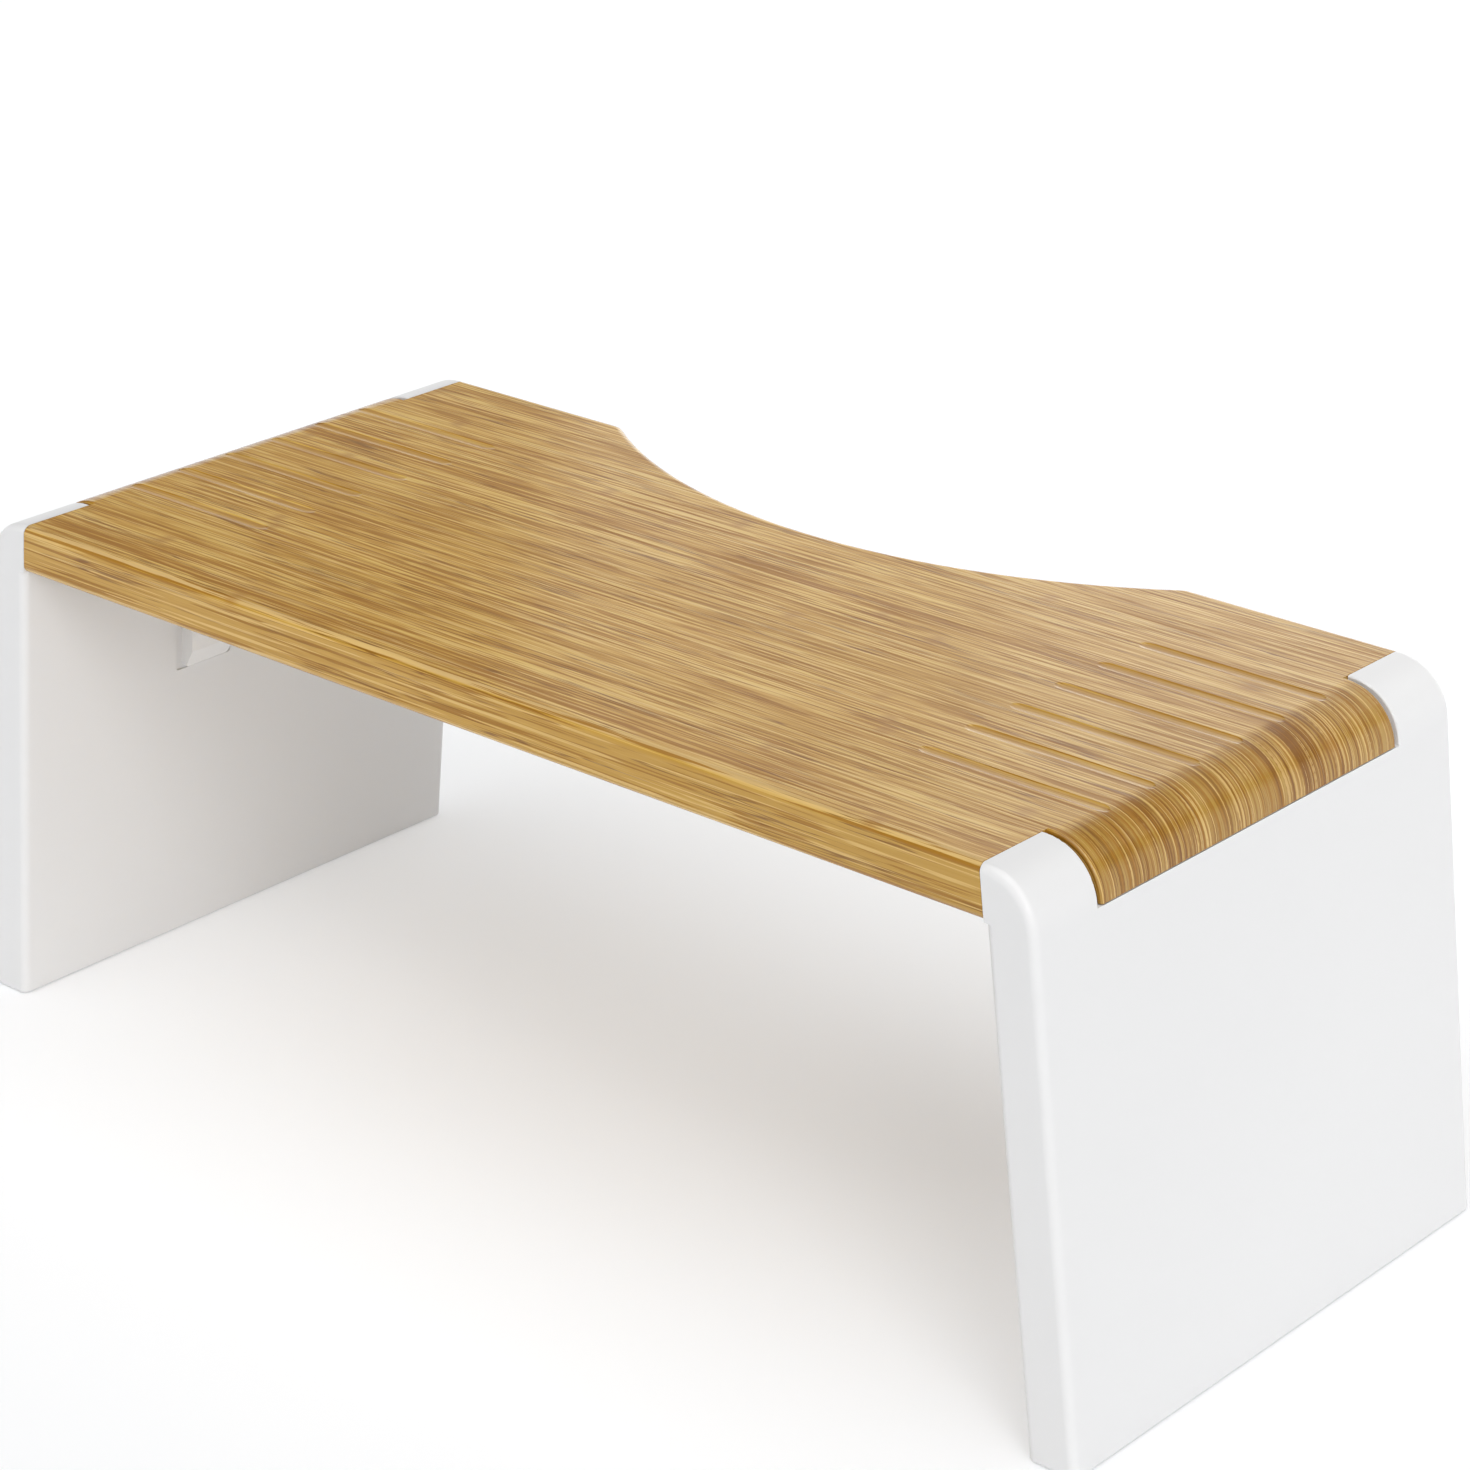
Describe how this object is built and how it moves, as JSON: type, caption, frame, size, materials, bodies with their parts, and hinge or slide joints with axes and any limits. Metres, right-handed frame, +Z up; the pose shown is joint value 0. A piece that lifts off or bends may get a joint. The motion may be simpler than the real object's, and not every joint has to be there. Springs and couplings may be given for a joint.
{
  "type": "folding toilet footstool",
  "caption": "Low folding footstool: bamboo top with a curved cut-out at the back and grooved ends, on two white splayed panel legs that hinge inwards under it.",
  "frame": {"origin": "on the floor, below the middle of the board", "axes": "+X along the board, +Y towards the cut-out at the back, +Z up"},
  "size_m": [0.4744, 0.202, 0.178],
  "materials": {
    "bamboo": "laminated bamboo strips, satin varnish",
    "white_lacquer": "white satin-gloss lacquer over a bamboo panel",
    "hinge_white": "white moulded plastic",
    "hinge_pin": "plain steel rod",
    "screw_steel": "zinc-plated steel",
    "foot_rubber": "matt grey non-slip rubber"
  },
  "bodies": {
    "board": {"top_board": "bamboo", "right_front_board_leaf": "hinge_white", "right_back_board_leaf": "hinge_white", "left_front_board_leaf": "hinge_white", "left_back_board_leaf": "hinge_white", "right_front_hinge_pin": "hinge_pin", "right_back_hinge_pin": "hinge_pin", "left_front_hinge_pin": "hinge_pin", "left_back_hinge_pin": "hinge_pin", "board_screws": "screw_steel"},
    "right_leg": {"right_leg": "white_lacquer", "right_front_leg_leaf": "hinge_white", "right_back_leg_leaf": "hinge_white", "right_leg_screws": "screw_steel", "right_front_foot": "foot_rubber", "right_back_foot": "foot_rubber"},
    "left_leg": {"left_leg": "white_lacquer", "left_front_leg_leaf": "hinge_white", "left_back_leg_leaf": "hinge_white", "left_leg_screws": "screw_steel", "left_front_foot": "foot_rubber", "left_back_foot": "foot_rubber"}
  },
  "joints": [
    {"name": "right_leg_fold", "type": "hinge", "parent": "board", "child": "right_leg", "pos_m": [0.19692, 0, 0.1563], "axis": [0, 1, 0], "range_deg": [0, 96.6]},
    {"name": "left_leg_fold", "type": "hinge", "parent": "board", "child": "left_leg", "pos_m": [-0.19692, 0, 0.1563], "axis": [0, -1, 0], "range_deg": [0, 96.6]}
  ]
}
